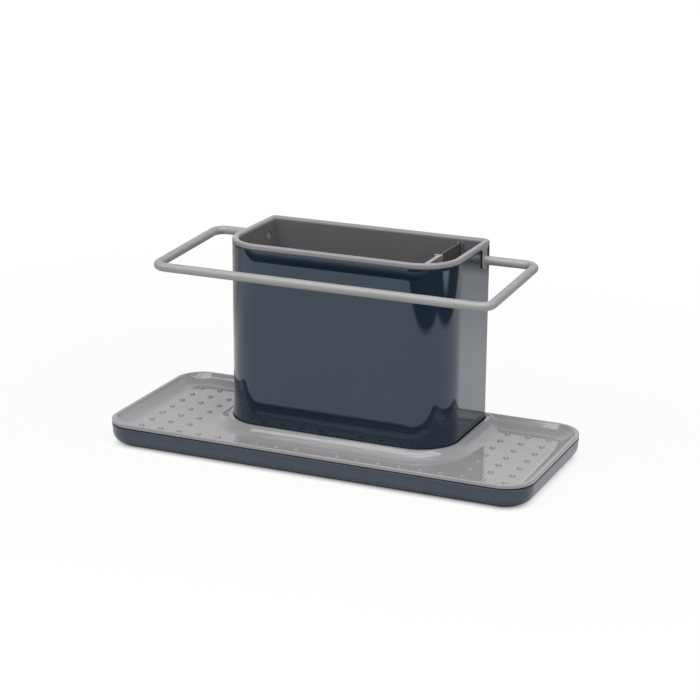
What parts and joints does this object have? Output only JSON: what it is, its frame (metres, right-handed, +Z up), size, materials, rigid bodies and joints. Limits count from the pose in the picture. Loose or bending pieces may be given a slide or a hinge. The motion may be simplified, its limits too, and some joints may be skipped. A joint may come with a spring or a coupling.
{
  "type": "kitchen sink caddy",
  "caption": "Kitchen sink caddy: a drainer tray on a drip base carries a tall lift-off container with a divided liner and a pivoting cloth rail.",
  "frame": {"origin": "middle of the tray's footprint, on the surface that the feet stand on", "axes": "+Z up, -Y towards the front where the cloth rail's bar is, +X along the caddy towards the divider's end"},
  "size_m": [0.301, 0.127, 0.1408],
  "materials": {
    "base_slate": "dark slate, semi-gloss moulded plastic",
    "foot_rubber": "matt black",
    "tray_grey": "light warm grey, semi-gloss moulded plastic",
    "casing_slate": "dark slate, high gloss",
    "liner_grey": "mid grey, satin",
    "divider_grey": "mid grey, satin",
    "rail_steel": "satin grey"
  },
  "bodies": {
    "base": {"base_reservoir": "base_slate", "base_feet": "foot_rubber"},
    "tray": {"drainer_tray": "tray_grey"},
    "casing": {"outer_casing": "casing_slate"},
    "liner": {"inner_liner": "liner_grey"},
    "divider": {"divider": "divider_grey"},
    "rail": {"cloth_rail": "rail_steel"}
  },
  "joints": [
    {"name": "tray_lift", "type": "slide", "parent": "base", "child": "tray", "axis": [0, 0, 1], "range_m": [0, 0.05]},
    {"name": "casing_lift", "type": "slide", "parent": "tray", "child": "casing", "axis": [0, 0, 1], "range_m": [0, 0.05]},
    {"name": "liner_lift", "type": "slide", "parent": "casing", "child": "liner", "axis": [0, 0, 1], "range_m": [0, 0.13]},
    {"name": "divider_lift", "type": "slide", "parent": "liner", "child": "divider", "axis": [0, 0, 1], "range_m": [0, 0.125]},
    {"name": "rail_pivot", "type": "hinge", "parent": "liner", "child": "rail", "pos_m": [0, 0.044, 0.1299], "axis": [-1, 0, 0], "range_deg": [-36, 103]}
  ]
}
